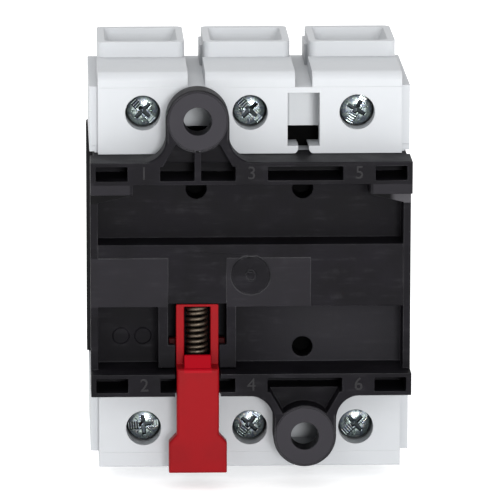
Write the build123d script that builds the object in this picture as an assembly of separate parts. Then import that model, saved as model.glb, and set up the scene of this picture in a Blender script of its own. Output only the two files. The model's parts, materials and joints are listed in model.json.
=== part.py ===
from build123d import *
import math
import os

# Three-pole fuse switch disconnector for a top-hat rail, in millimetres.
# X runs across the poles, Y from the rail towards the operator, Z is up.
# The origin is the middle of the base's moulding gate, on the plane where the rail rests.

# Mounting rail and the play around it
rail_width = 35.0
rail_thickness = 1.0
rail_offset = 0.5
rail_play = 0.2
hook_play = 0.3
hook_overlap = 1.7

# Fuses and the jaws that hold them
fuse_length = 38.0
fuse_cap_radius = 5.15
fuse_cap_length = 10.5
fuse_tube_step = 0.25
fuse_depth = 37.0
fuse_middle = -0.8
jaw_inset = 0.7
jaw_length = 5.5
jaw_reach = 1.5
jaw_thickness = 1.0
jaw_play = 0.1
jaw_spring_thickness = 0.6
jaw_spring_height = 2.6
jaw_spring_setback = 1.0
strip_thickness = 1.5
strip_clearance = 0.85

# Poles
pole_count = 3
pole_wall = 1.65
pole_gap = 3.25

# Rear base
base_side_gap = 0.15
band_depth = 4.5
band_height = 4.3
base_floor = 7.0
base_floor_thickness = 1.5
base_rim_depth = 3.8
base_rim_step = 0.6
side_wall = 1.4
band_wall = 0.8
band_end_wall = 1.0
band_web = 6.1
pocket_floor = 5.5
plateau_top = 5.9
plateau_bottom = -6.1
plateau_skin = 1.5
pad_step = 0.15
pad_inset = 2.6
gate_radius = 3.87
gate_groove = 0.28
gate_pip_radius = 1.1
gate_depth = 0.2
tongue_width = 7.95
hook_gusset_short = 2.8
hook_gusset_tall = 4.3
peg_hole_radius = 1.96
peg_wall = 1.05
peg_inset = 2.8
peg_play = 0.05

# Ears for screw mounting
ear_reach = 7.8
ear_radius = 5.95
ear_hole_radius = 2.65
ear_front = 0.7
ear_fillet = 4.6
ear_edge = 0.25
ear_disc_radius = 5.7
gusset_inset = 1.75
gusset_tip_gap = 3.3
gusset_tip_half = 3.56
ear_rib = 1.2

# Rail clip and its bay
clip_width = 8.0
clip_window = 5.0
clip_rear = 0.2
clip_thickness = 4.0
clip_bar = 0.45
clip_handle_thickness = 3.0
clip_lip_width = 5.1
clip_lip_overlap = 2.0
clip_lip_blunt = 0.6
clip_bridge = 1.3
clip_ramp = 0.9
clip_flare_width = 11.0
clip_flare_length = 5.9
clip_flare_rise = 1.6
clip_length = 31.75
clip_edge = 0.35
clip_travel = 3.0
wing_top = -12.7
wing_half = 5.35
wing_thickness = 1.4
bay_play = 0.2
bay_rib = 1.8
bay_head = 0.6
bay_end_gap = 0.3
bay_top_play = 0.15
guide_lip_height = 4.45
guide_lip_thickness = 1.3
slide_play = 0.2

# Clip spring
spring_outer_diameter = 4.0
spring_wire = 0.62
spring_pitch = 1.13
peg_width = 4.2
peg_height = 1.4

# Housing
housing_rear = 4.1
front_cover = 4.5
collar_height = 4.7
collar_step = 0.2
collar_round = 1.4
collar_rear_step = 0.4
block_inset = 5.8
pole_box_inset = 2.95
pole_box_round = 2.0
pole_box_foot_round = 0.5
crease_depth = 0.08
shoulder_rear = 30.0
shoulder_step = 0.5
shoulder_inset = 1.8
flange_rear = 6.1
flange_step = 1.6
flange_foot = 1.5
flange_foot_step = 0.3
waist_step = 0.65
base_play = 0.1
inner_thickness = 4.6
front_wall = 1.6
cavity_wall = 1.55
cavity_end = 7.4

# Wire funnels
rim_wall = 1.35
mouth_rear_wall = 1.4
mouth_front_wall = 1.8
mouth_round = 1.4
throat_step = 1.3
throat_front_step = 0.5
throat_play = 0.05
throat_round = 0.6

# Windows between the poles
window_width = 6.05
window_rise = 1.56
window_head = 1.1
window_skin = 4.7
window_relief = 0.4
keyhole_width = 2.0
keyhole_mouth = 4.3

# Clamps
screw_inset = 3.6
screw_hole_radius = 3.35
screw_head_radius = 3.0
screw_head_sink = 2.6
screw_head_height = 2.2
screw_radius = 2.0
screw_slot = 0.9
screw_cross = 0.8
screw_recess = 1.1
screw_turns = (135, 20, 60, 5, 45, 40)
thread_play = 0.05
clamp_cover = 3.3
cage_seat = 0.5
cage_height = 9.0
cage_wall = 1.2
cage_thread_wall = 3.0
cage_inner_width = 9.5
cage_inner_depth = 12.0
cage_round = 1.0
cage_play = 0.15
tongue_inset = 1.4
plate_side_play = 0.3
plate_end_play = 0.5
plate_head_room = 2.1
plate_thickness = 1.2
plate_play = 0.15
strip_side_play = 0.35
riser_drop = 4.5

# Contact block
block_play = 0.1
trough_depth = 7.5
trough_margin = 1.45
trough_half_height = 11.0
partition_thickness = 1.5
partition_reach = 2.6

# Front frame, carrier and hinge
skirt_wall = 1.2
frame_border = 1.0
frame_thickness = 2.5
frame_skirt = 3.1
frame_round = 1.0
aperture_lip = 0.4
aperture_play = 0.9
hinge_drop = 0.5
hinge_barrel_radius = 2.2
hinge_gap = 0.3
hinge_pin_radius = 1.2
hinge_pin_length = 4.6
hinge_play = 0.05
lug_width = 2.4
lug_play = 0.3
carrier_side_play = 0.5
carrier_end = 2.6
carrier_lift = 1.0
carrier_thickness = 2.0
carrier_rim_gap = 0.5
carrier_rim_wall = 1.6
grip_side_inset = 5.3
grip_reach = 6.5
grip_height = 8.8
grip_round = 1.2
pane_width = 9.6
pane_height = 21.6
pane_ledge = 0.8
pane_thickness = 1.0
pane_play = 0.05
pane_drop = 3.2
fuse_clip_thickness = 0.5
fuse_clip_height = 7.0
fuse_clip_play = 0.1
fuse_clip_opening = 100.0
fuse_boss_width = 6.0

# The jaws and the poles round them
jaw_half = fuse_cap_radius + jaw_play
jaw_outer_half = jaw_half + jaw_thickness
jaw_spring_half = jaw_outer_half + jaw_spring_thickness
pole_box_width = 2 * (jaw_spring_half + pole_wall)
pole_pitch = pole_box_width + pole_gap
half_pitch = pole_pitch / 2
pole_places = [(number - (pole_count - 1) / 2) * pole_pitch for number in range(pole_count)]
gap_places = [place + half_pitch for place in pole_places[:-1]]
clip_place = gap_places[0]
fuse_top = fuse_middle + fuse_length / 2
fuse_tube_radius = fuse_cap_radius - fuse_tube_step
jaw_top = fuse_top - jaw_inset

# The rail and the base on it
rail_top = rail_width / 2 + rail_offset
rail_bottom = rail_top - rail_width
band_inner = rail_top + rail_play
half_height = band_inner + band_height
base_width = pole_count * pole_pitch - base_side_gap
half_base = base_width / 2
back_plane = -band_depth
base_front = base_floor + base_floor_thickness
recess_half = half_base - side_wall
hook_front = -rail_thickness - hook_play
peg_level = band_inner - peg_inset
peg_radius = peg_hole_radius + peg_wall
ear_height = half_height + ear_reach
ear_bend = min(ear_fillet, 0.95 * ear_reach)

# The clip in its bay
bay_half = wing_half + bay_play
bay_ceiling = plateau_bottom + bay_head
bay_bottom = bay_end_gap - band_inner
clip_top = bay_ceiling - bay_top_play
clip_bottom = clip_top - clip_length
clip_front = clip_rear + clip_thickness
clip_slot_bottom = rail_bottom - rail_play
spring_depth = (clip_rear + clip_front) / 2
spring_top = clip_top - clip_bar
peg_bottom = clip_slot_bottom + slide_play
peg_top = peg_bottom + peg_height

# Depths, from the fuses outwards
block_front = fuse_depth - fuse_cap_radius - strip_clearance - strip_thickness
housing_front = fuse_depth + front_cover
frame_front = housing_front + frame_thickness
inner_wall = base_front + inner_thickness
cage_front = housing_front - clamp_cover
cage_inner_front = cage_front - cage_wall
cage_inner_rear = cage_inner_front - cage_inner_depth
cage_rear = cage_inner_rear - cage_thread_wall
tongue_rear = cage_inner_front - strip_thickness
collar_rear = cage_rear + collar_rear_step
screw_tip = cage_inner_rear + plate_play
screw_head_rear = housing_rear + screw_head_sink
hinge_depth = frame_front + hinge_gap + hinge_barrel_radius
carrier_back = frame_front + carrier_lift
carrier_front = carrier_back + carrier_thickness

# Heights, from the fuses outwards
cavity_half_height = fuse_length / 2 + cavity_end
cage_low = cavity_half_height + cage_seat
cage_high = cage_low + cage_height
screw_height = cage_low + screw_inset
throat_level = cage_high + cage_seat
collar_end = throat_level + collar_height
pole_box_end = collar_end - pole_box_inset
block_end = collar_end - block_inset
carrier_top = fuse_top + carrier_end
aperture_top = carrier_top + aperture_play
frame_end = aperture_top + frame_border
hinge_height = hinge_barrel_radius - frame_end
aperture_bottom = hinge_height - hinge_drop

# Widths of the housing, the frame and the carrier
block_half = pole_places[-1] + pole_box_width / 2
waist_half = block_half + waist_step
flange_half = block_half + flange_step
cavity_half = block_half - cavity_wall
aperture_half = cavity_half - aperture_lip
frame_half = waist_half + base_play + skirt_wall
carrier_half = aperture_half - carrier_side_play
lug_inner = carrier_half + lug_play


def span(x_one, x_two, z_one, z_two):
    """A rectangle between two corners."""
    middle = Pos((x_one + x_two) / 2, (z_one + z_two) / 2)
    return middle * Rectangle(abs(x_two - x_one), abs(z_two - z_one))


def slab(outline, rear, front):
    """Extrude an outline drawn in X and Z from its rear depth to its front depth."""
    return extrude(Plane.XZ.offset(-front) * outline, amount=front - rear, dir=(0, -1, 0))


def bar(profile, left, right):
    """Extrude a profile drawn in Y and Z from left to right."""
    return extrude(Plane.YZ.offset(left) * profile, amount=right - left, dir=(1, 0, 0))


def column(section, low, high):
    """Extrude a section drawn in X and Y from its low level to its high level."""
    return extrude(Plane.XY.offset(low) * section, amount=high - low, dir=(0, 0, 1))


def upside_down(shape):
    """The same shape on the load side, turned half round about the Y axis."""
    return Rot(0, 180, 0) * shape


def mirrored(shape):
    """The same shape on the load side, mirrored in the plane Z = 0."""
    return mirror(shape, about=Plane.XY)


def band_pockets():
    """Outlines of the pockets in one band: one in each gap and one at each end."""
    low = band_inner + band_wall
    high = half_height - band_wall
    reach = half_pitch - band_web / 2
    pockets = Sketch()
    for place in gap_places:
        pockets += span(place - reach, place + reach, low, high)
    start = pole_places[-1] + band_web / 2
    end = half_base - band_end_wall
    pockets += span(start, end, low, high)
    pockets += span(-end, -start, low, high)
    return pockets


def ear_plate():
    """The ear above the first gap, with fillets where it leaves the band."""
    reach = ear_radius + 2 * ear_bend
    outline = span(clip_place - reach, clip_place + reach, half_height - band_wall, half_height)
    outline += span(clip_place - ear_radius, clip_place + ear_radius, half_height, ear_height)
    outline += Pos(clip_place, ear_height) * Circle(ear_radius)
    corners = [
        corner
        for corner in outline.vertices()
        if abs(corner.Y - half_height) < 0.01
        and abs(abs(corner.X - clip_place) - ear_radius) < 0.01
    ]
    outline = fillet(corners, ear_bend)
    plate = slab(outline, back_plane, ear_front)
    plate = chamfer(plate.faces().sort_by(Axis.Y)[0].edges(), ear_edge)
    middle = Pos(clip_place, ear_height)
    groove = middle * Circle(ear_disc_radius) - middle * Circle(ear_disc_radius - ear_edge)
    plate -= slab(groove, back_plane, back_plane + ear_edge)
    hole = middle * Circle(ear_hole_radius)
    return plate - slab(hole, back_plane, ear_front)


def ear_gusset():
    """The recess between the ear's two slanting webs."""
    foot = half_pitch - band_web / 2
    start = half_height - gusset_inset
    tip = ear_height - gusset_tip_gap
    outline = Pos(clip_place, 0) * Polygon(
        (-foot, start),
        (foot, start),
        (gusset_tip_half, tip),
        (-gusset_tip_half, tip),
        align=None,
    )
    outline -= Pos(clip_place, ear_height) * Circle(ear_radius)
    return slab(outline, back_plane, 0)


def ring(radius, width, depth):
    """A ring groove around the gate."""
    return slab(Circle(radius) - Circle(radius - width), 0, depth)


def rail_hook(side):
    """One fixed rail hook at a top corner of the base, with the gusset below it."""
    inner = side * (half_base - tongue_width)
    hook = span(inner, side * half_base, rail_top - hook_overlap, band_inner)
    gusset = Polygon(
        (inner, band_inner),
        (inner, band_inner - hook_gusset_short),
        (side * recess_half, band_inner - hook_gusset_tall),
        (side * recess_half, band_inner),
        align=None,
    )
    return slab(hook, back_plane, hook_front) + slab(gusset, 0, base_floor)


def clip_bay(base):
    """Cut and build the guide of the rail clip into the base."""
    left = clip_place - bay_half
    right = clip_place + bay_half
    base -= slab(span(left, right, bay_ceiling, bay_bottom), 0, base_floor)
    guide_inner = clip_width / 2 + slide_play
    lip_top = bay_bottom + guide_lip_height
    for side in (-1, 1):
        wall_inner = clip_place + side * bay_half
        wall_outer = wall_inner + side * bay_rib
        base += slab(span(wall_inner, wall_outer, plateau_bottom, bay_bottom), 0, base_floor)
        lip_inner = clip_place + side * guide_inner
        base += slab(span(lip_inner, wall_outer, lip_top, bay_bottom), 0, guide_lip_thickness)
    peg_half = peg_width / 2
    peg = span(clip_place - peg_half, clip_place + peg_half, peg_bottom, peg_top)
    base += slab(peg, clip_rear, base_floor)
    notch_half = clip_width / 2 + 1.5 * slide_play
    handle_front = back_plane + clip_handle_thickness + 1.5 * slide_play
    notch = span(clip_place - notch_half, clip_place + notch_half, -band_inner, -half_height)
    base -= slab(notch, back_plane, handle_front)
    wall = span(clip_place - notch_half, clip_place + notch_half, -band_inner, -band_inner - band_wall)
    base -= slab(wall, back_plane, clip_front + slide_play)
    return base


def hollow_peg(place, level):
    """A hollow peg behind the floor, which goes through the housing, and its hole."""
    middle = Pos(place, level)
    peg = slab(middle * Circle(peg_radius), base_floor, inner_wall)
    hole = slab(middle * Circle(peg_hole_radius), base_floor, inner_wall)
    return peg, hole


def rear_base():
    """The moulding that sits on the rail."""
    base = slab(Rectangle(base_width, 2 * half_height), 0, base_rim_depth)
    inset_width = base_width - 2 * base_rim_step
    base += slab(Rectangle(inset_width, 2 * half_height), base_rim_depth, base_front)
    base -= slab(span(-recess_half, recess_half, plateau_top, band_inner), 0, base_floor)
    base -= slab(span(-recess_half, recess_half, plateau_bottom, -band_inner), 0, base_floor)
    inner_half = recess_half - side_wall
    hollow = span(-inner_half, inner_half, plateau_bottom + plateau_skin, plateau_top - plateau_skin)
    base -= slab(hollow, plateau_skin, base_front)
    band = slab(span(-half_base, half_base, band_inner, half_height), back_plane, 0)
    plate = ear_plate()
    gusset = ear_gusset()
    pockets = slab(band_pockets(), back_plane, pocket_floor)
    base += band
    base += mirrored(band)
    base += plate
    base += upside_down(plate)
    base -= pockets
    base -= mirrored(pockets)
    base -= gusset
    base -= upside_down(gusset)
    rib_top = ear_height - ear_radius + ear_rib
    rib = span(clip_place - ear_rib / 2, clip_place + ear_rib / 2, band_inner + band_wall, rib_top)
    base += slab(rib, back_plane, pocket_floor)
    for side in (-1, 1):
        base += rail_hook(side)
    step = span(-recess_half, recess_half, plateau_bottom, plateau_top)
    pad_top = plateau_top - pad_inset
    step -= span(-recess_half, clip_place - bay_half, plateau_bottom, pad_top)
    step -= span(clip_place + bay_half, half_pitch + ear_rib, plateau_bottom, pad_top)
    base -= slab(step, 0, pad_step)
    base -= ring(gate_radius, gate_groove, gate_depth)
    base -= ring(gate_pip_radius, gate_groove, gate_depth)
    base = clip_bay(base)
    for place in gap_places:
        for level in (peg_level, -peg_level):
            peg, hole = hollow_peg(place, level)
            base += peg
            base -= hole
    return base


def rail_clip():
    """The sliding clip: a frame round the spring, a hook for the rail and a handle."""
    half = clip_width / 2
    bridge_bottom = clip_slot_bottom - clip_bridge
    frame = Pos(0, (clip_top + bridge_bottom) / 2) * Rectangle(clip_width, clip_top - bridge_bottom)
    frame -= span(-clip_window / 2, clip_window / 2, spring_top, clip_slot_bottom)
    clip = slab(frame, clip_rear, clip_front)
    wing_low = clip_travel + slide_play - band_inner
    wings = span(-wing_half, wing_half, wing_top, wing_low)
    wings -= span(-clip_window / 2, clip_window / 2, wing_top, wing_low)
    clip += slab(wings, clip_front - wing_thickness, clip_front)
    handle_front = back_plane + clip_handle_thickness
    clip += slab(span(-half, half, clip_slot_bottom, bridge_bottom), handle_front, clip_rear)
    flare = clip_flare_width / 2
    flare_bottom = clip_bottom + clip_flare_length
    flare_top = flare_bottom + clip_flare_rise
    handle = Polygon(
        (-half, clip_slot_bottom),
        (half, clip_slot_bottom),
        (half, flare_top),
        (flare, flare_bottom),
        (flare, clip_bottom),
        (-flare, clip_bottom),
        (-flare, flare_bottom),
        (-half, flare_top),
        align=None,
    )
    handle = slab(handle, back_plane, handle_front)
    near_face = handle.faces().sort_by(Axis.Y)[0]
    clip += chamfer(near_face.edges(), clip_edge)
    lip_tip = rail_bottom + clip_lip_overlap
    ramp_bottom = rail_bottom - clip_ramp
    lip = Polygon(
        (hook_front, lip_tip),
        (hook_front - clip_lip_blunt, lip_tip),
        (back_plane, ramp_bottom),
        (hook_front, ramp_bottom),
        align=None,
    )
    clip += bar(lip, -clip_lip_width / 2, clip_lip_width / 2)
    return Pos(clip_place, 0, 0) * clip


def clip_spring():
    """The coil spring between the base's peg and the clip's top bar."""
    wire = spring_wire / 2
    coil = spring_outer_diameter / 2 - wire
    low = peg_top + wire
    height = spring_top - wire - low
    path = Helix(height / round(height / spring_pitch), height, coil)
    section = Plane(origin=path @ 0, z_dir=path % 0) * RegularPolygon(wire, 6)
    spring = sweep(section, path=path, is_frenet=True)
    return Pos(clip_place, spring_depth, low) * spring


def pole_body(number):
    """The rear box and the front collars of one pole, with a rib where it faces the pole before."""
    profile = Pos((housing_rear + collar_rear) / 2, 0)
    profile = profile * Rectangle(collar_rear - housing_rear, 2 * pole_box_end)
    foot, head = profile.vertices().sort_by(Axis.X)[:2].sort_by(Axis.Y)
    profile = fillet(head, pole_box_round)
    profile = fillet(profile.vertices().sort_by(Axis.Y)[:2].sort_by(Axis.X)[0], pole_box_foot_round)
    body = bar(profile, -pole_box_width / 2, pole_box_width / 2)
    collar_width = pole_box_width - 2 * collar_step
    depth = housing_front - collar_rear
    section = Pos(0, collar_rear + depth / 2)
    section = section * RectangleRounded(collar_width, depth, collar_round)
    body += column(section, -collar_end, collar_end)
    if number > 0:
        rib_end = collar_end - shoulder_inset
        rib = span(-collar_width / 2 - shoulder_step, 0, -rib_end, rib_end)
        body += slab(rib, shoulder_rear, housing_front - collar_round)
    for end in (block_end, -block_end):
        crease = span(-pole_box_width / 2, pole_box_width / 2, end, end / block_end * pole_box_end)
        body -= slab(crease, housing_rear, housing_rear + crease_depth)
    return Pos(pole_places[number], 0, 0) * body


def wire_way(place):
    """The hollow of one terminal: funnel, throat, cage pocket and screwdriver hole."""
    mouth_rear = collar_rear + mouth_rear_wall
    mouth_depth = housing_front - mouth_front_wall - mouth_rear
    mouth_width = pole_box_width - 2 * (collar_step + rim_wall)
    mouth = Pos(0, mouth_rear + mouth_depth / 2)
    mouth = mouth * RectangleRounded(mouth_width, mouth_depth, mouth_round)
    throat_rear = cage_inner_rear + throat_step
    throat_depth = cage_inner_front - throat_front_step - throat_rear
    throat_width = cage_inner_width + 2 * throat_play
    throat = Pos(0, throat_rear + throat_depth / 2)
    throat = throat * RectangleRounded(throat_width, throat_depth, throat_round)
    way = loft([Plane.XY.offset(throat_level) * throat, Plane.XY.offset(collar_end) * mouth])
    pocket_top = cage_high + cage_play
    way += column(throat, pocket_top, throat_level)
    pocket_rear = cage_rear - cage_play
    pocket_depth = cage_front + cage_play - pocket_rear
    pocket_half = cage_inner_width / 2 + cage_wall + cage_play
    pocket = Pos(0, pocket_rear + pocket_depth / 2) * Rectangle(2 * pocket_half, pocket_depth)
    way += column(pocket, cavity_half_height, pocket_top)
    way += slab(Pos(0, screw_height) * Circle(screw_hole_radius), housing_rear, pocket_rear)
    return Pos(place, 0, 0) * way


def gap_window(place):
    """The window between two poles with the keyhole below it and the hollow behind."""
    half = window_width / 2
    relief = half + window_relief
    inner_rear = housing_rear + window_skin
    window_bottom = half_height + window_rise
    window_top = block_end - window_head
    opening = slab(span(-half, half, window_bottom, window_top), housing_rear, inner_rear)
    high = window_top + window_relief
    low = window_bottom - window_relief
    opening += slab(span(-relief, relief, low, high), inner_rear, inner_wall)
    lip = keyhole_mouth / 2 - keyhole_width / 2
    slot = span(-keyhole_width / 2, keyhole_width / 2, half_height, window_bottom)
    flare = span(-keyhole_mouth / 2, keyhole_mouth / 2, half_height, half_height + lip)
    flare -= Pos(-keyhole_mouth / 2, half_height + lip) * Circle(lip)
    flare -= Pos(keyhole_mouth / 2, half_height + lip) * Circle(lip)
    opening += slab(slot + flare, housing_rear, inner_wall)
    return Pos(place, 0, 0) * opening


def side_flanges():
    """The flanges beside the outer poles, and the waist beside the base."""
    step = half_height + flange_foot
    foot = frame_end + base_play
    whole = Rectangle(2 * flange_half, 2 * block_end)
    flanges = slab(whole - Rectangle(2 * flange_half, 2 * step), flange_rear, housing_front)
    feet = Rectangle(2 * flange_half, 2 * step) - Rectangle(2 * flange_half, 2 * foot)
    flanges += slab(feet, flange_rear + flange_foot_step, housing_front)
    return flanges + slab(Rectangle(2 * waist_half, 2 * foot), flange_rear, housing_front)


def housing():
    """The light grey body that holds the poles."""
    body = slab(Rectangle(2 * block_half, 2 * block_end), housing_rear, housing_front)
    for number in range(pole_count):
        body += pole_body(number)
    body += side_flanges()
    recess = Rectangle(2 * flange_half, 2 * (half_height + base_play))
    body -= slab(recess, housing_rear, base_front)
    cavity = Rectangle(2 * cavity_half, 2 * cavity_half_height)
    body -= slab(cavity, inner_wall, housing_front - front_wall)
    aperture = span(-aperture_half, aperture_half, aperture_bottom, aperture_top)
    body -= slab(aperture, housing_front - front_wall, housing_front)
    for place in pole_places:
        way = wire_way(place)
        body -= way
        body -= mirrored(way)
    for place in gap_places:
        opening = gap_window(place)
        body -= opening
        body -= mirrored(opening)
        for level in (peg_level, -peg_level):
            hole = Pos(place, level) * Circle(peg_radius + peg_play)
            body -= slab(hole, base_front, inner_wall)
    return body


def contact_block():
    """The black insulator that carries the contacts, with a trough for each fuse."""
    half = cavity_half - block_play
    height = 2 * (cavity_half_height - block_play)
    block = slab(Rectangle(2 * half, height), inner_wall, block_front)
    trough_half = jaw_spring_half + trough_margin
    for place in pole_places:
        trough = Pos(place, fuse_middle) * Rectangle(2 * trough_half, 2 * trough_half_height)
        block -= slab(trough, block_front - trough_depth, block_front)
        groove_half = jaw_spring_half + block_play
        for level in jaw_levels():
            low = level - jaw_spring_height / 2 - block_play
            high = level + jaw_spring_height / 2 + block_play
            groove = span(place - groove_half, place + groove_half, low, high)
            block -= slab(groove, block_front - jaw_spring_thickness - block_play, block_front)
    for place in gap_places:
        wall = span(
            place - partition_thickness / 2,
            place + partition_thickness / 2,
            aperture_bottom,
            aperture_top,
        )
        block += slab(wall, block_front, fuse_depth + partition_reach)
    return block


def jaw_levels():
    """Heights of the middle of the upper and the lower jaw."""
    upper = jaw_top - jaw_length / 2
    return [upper, 2 * fuse_middle - upper]


def clamp_cage():
    """The steel cage of the first pole's upper box clamp."""
    outer_width = cage_inner_width + 2 * cage_wall
    outer_depth = cage_front - cage_rear
    ring_outline = Pos(0, cage_rear + outer_depth / 2)
    ring_outline = ring_outline * RectangleRounded(outer_width, outer_depth, cage_round)
    hollow = Pos(0, cage_inner_rear + cage_inner_depth / 2)
    ring_outline -= hollow * Rectangle(cage_inner_width, cage_inner_depth)
    cage = column(ring_outline, cage_low, cage_high)
    hole = Pos(0, screw_height) * Circle(screw_radius + thread_play)
    cage -= slab(hole, cage_rear, cage_inner_rear)
    return cage


def terminal_screw(turn):
    """A clamp screw along Y with a slot and a cross in its head."""
    head_front = screw_head_rear + screw_head_height
    head = slab(Circle(screw_head_radius), screw_head_rear, head_front)
    head = chamfer(head.edges().sort_by(Axis.Y)[0], screw_head_height / 6)
    screw = head + slab(Circle(screw_radius), head_front, screw_tip)
    screw = chamfer(screw.edges().sort_by(Axis.Y)[-1], screw_radius / 4)
    slot = Rectangle(2 * screw_head_radius, screw_slot)
    cross = Rectangle(2 * screw_radius, screw_cross) + Rectangle(screw_cross, 2 * screw_radius)
    recess = Rot(0, 0, turn) * (slot + cross)
    screw -= slab(recess, screw_head_rear, screw_head_rear + screw_recess)
    return Pos(0, 0, screw_height) * screw


def pressure_plate():
    """The plate that the screw pushes onto the wire."""
    half = cage_inner_width / 2 - plate_side_play
    low = cage_low + plate_end_play
    high = cage_high - plate_head_room
    profile = span(screw_tip, screw_tip + plate_thickness, low, high)
    edge = profile.vertices().sort_by(Axis.X)[-2:]
    profile = chamfer(edge, plate_thickness / 3)
    return bar(profile, -half, half)


def contact(level):
    """A bent copper strip from the clamp to the jaw whose middle is at the level."""
    strip_front = block_front + strip_thickness
    foot = level - jaw_length / 2
    riser_low = cavity_half_height - riser_drop
    riser_high = riser_low + strip_thickness
    profile = span(tongue_rear, cage_inner_front, riser_low, cage_high - tongue_inset)
    profile += span(block_front, cage_inner_front, riser_low, riser_high)
    profile += span(block_front, strip_front, foot, riser_high)
    bends = [
        corner
        for corner in profile.vertices()
        if abs(corner.Y - riser_low) < 0.01 and corner.X > strip_front + 0.01
    ]
    profile = fillet(bends, strip_thickness / 2)
    half = cage_inner_width / 2 - strip_side_play
    strip = bar(profile, -half, half)
    strip += slab(
        span(-jaw_outer_half, jaw_outer_half, foot, foot + jaw_length), block_front, strip_front
    )
    jaw_front = fuse_depth + jaw_reach
    finger = Pos((strip_front + jaw_front) / 2, level)
    finger = finger * Rectangle(jaw_front - strip_front, jaw_length)
    tips = finger.vertices().sort_by(Axis.X)[-2:]
    finger = fillet(tips, jaw_length / 4)
    strip += bar(finger, jaw_half, jaw_outer_half)
    strip += bar(finger, -jaw_outer_half, -jaw_half)
    return strip


def jaw_spring(level):
    """The steel clip that presses the two fingers of a jaw together."""
    rear = block_front - jaw_spring_thickness
    front = fuse_depth + jaw_reach - jaw_spring_setback
    clip = Pos(0, (rear + front) / 2) * Rectangle(2 * jaw_spring_half, front - rear)
    clip -= Pos(0, (block_front + front) / 2) * Rectangle(2 * jaw_outer_half, front - block_front)
    low = level - jaw_spring_height / 2
    return column(clip, low, low + jaw_spring_height)


def fuse_tube():
    """The ceramic tube of a fuse, between its caps."""
    length = fuse_length - 2 * fuse_cap_length
    return Pos(0, fuse_depth, fuse_middle) * Cylinder(fuse_tube_radius, length)


def fuse_caps():
    """The two end caps of a fuse."""
    upper = Pos(0, fuse_depth, fuse_top - fuse_cap_length / 2)
    cap = upper * Cylinder(fuse_cap_radius, fuse_cap_length)
    cap = chamfer(cap.edges().sort_by(Axis.Z)[-1], fuse_cap_radius / 10)
    middle = Plane.XY.offset(fuse_middle)
    return Compound(children=[cap, mirror(cap, about=middle)])


def carrier_clip():
    """The clip on the carrier that holds the fuse's tube."""
    inner = fuse_tube_radius + fuse_clip_play
    outer = inner + fuse_clip_thickness
    section = Circle(outer) - Circle(inner)
    reach = 2 * outer
    width = reach * math.tan(math.radians(fuse_clip_opening / 2))
    section -= Polygon((0, 0), (-width, -reach), (width, -reach), align=None)
    section = Pos(0, fuse_depth) * section
    low = fuse_middle - fuse_clip_height / 2
    return column(section, low, low + fuse_clip_height)


def carrier_grip():
    """The profile of the grip, which hooks a fingertip from below."""
    front = carrier_front + grip_reach
    return Polygon(
        (carrier_front, carrier_top - grip_height),
        (front - grip_round, carrier_top - 2 * grip_round),
        (front, carrier_top),
        (carrier_front, carrier_top),
        align=None,
    )


def fuse_carrier():
    """The hinged carrier: panel with rim, grip, hinge barrel and a boss for each clip."""
    panel = span(carrier_back, carrier_front, hinge_height, carrier_top)
    panel += Pos(hinge_depth, hinge_height) * Circle(hinge_barrel_radius)
    front_corner = panel.vertices().sort_by(Axis.Y)[-2:].sort_by(Axis.X)[-1]
    panel = fillet(front_corner, carrier_thickness / 2)
    carrier = bar(panel, -carrier_half, carrier_half)
    rim_low = hinge_height + hinge_barrel_radius
    rim = span(-carrier_half, carrier_half, rim_low, carrier_top)
    rim -= span(
        carrier_rim_wall - carrier_half,
        carrier_half - carrier_rim_wall,
        rim_low,
        carrier_top - carrier_rim_wall,
    )
    carrier += slab(rim, housing_front + carrier_rim_gap, carrier_back)
    grip_half = carrier_half - grip_side_inset
    carrier += bar(carrier_grip(), -grip_half, grip_half)
    boss_low = fuse_middle - fuse_clip_height / 2
    clip_outer = fuse_tube_radius + 2 * fuse_clip_play + fuse_clip_thickness
    for place in pole_places:
        middle = Pos(place, (fuse_depth + carrier_back) / 2)
        boss = middle * Rectangle(fuse_boss_width, carrier_back - fuse_depth)
        boss -= Pos(place, fuse_depth) * Circle(clip_outer)
        carrier += column(boss, boss_low, boss_low + fuse_clip_height)
    pane_middle = fuse_middle - pane_drop
    for place in pole_places:
        hole_width = pane_width - 2 * pane_ledge
        hole_height = pane_height - 2 * pane_ledge
        hole = Pos(place, pane_middle) * Rectangle(hole_width, hole_height)
        hole -= Pos(place, fuse_middle) * Rectangle(pane_width, fuse_clip_height)
        carrier -= slab(hole, carrier_back, carrier_front)
        rebate = Pos(place, pane_middle) * Rectangle(pane_width, pane_height)
        carrier -= slab(rebate, carrier_front - pane_thickness, carrier_front)
    bore = Pos(hinge_depth, hinge_height) * Circle(hinge_pin_radius + hinge_play)
    bore_depth = hinge_pin_length - lug_width
    for side in (-1, 1):
        inner = side * (carrier_half - bore_depth)
        carrier -= bar(bore, min(inner, side * carrier_half), max(inner, side * carrier_half))
    return carrier


def window_pane():
    """The clear pane over a fuse."""
    width = pane_width - 2 * pane_play
    height = pane_height - 2 * pane_play
    pane = Pos(0, fuse_middle - pane_drop) * RectangleRounded(width, height, pane_ledge / 2)
    return slab(pane, carrier_front - pane_thickness, carrier_front)


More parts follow.
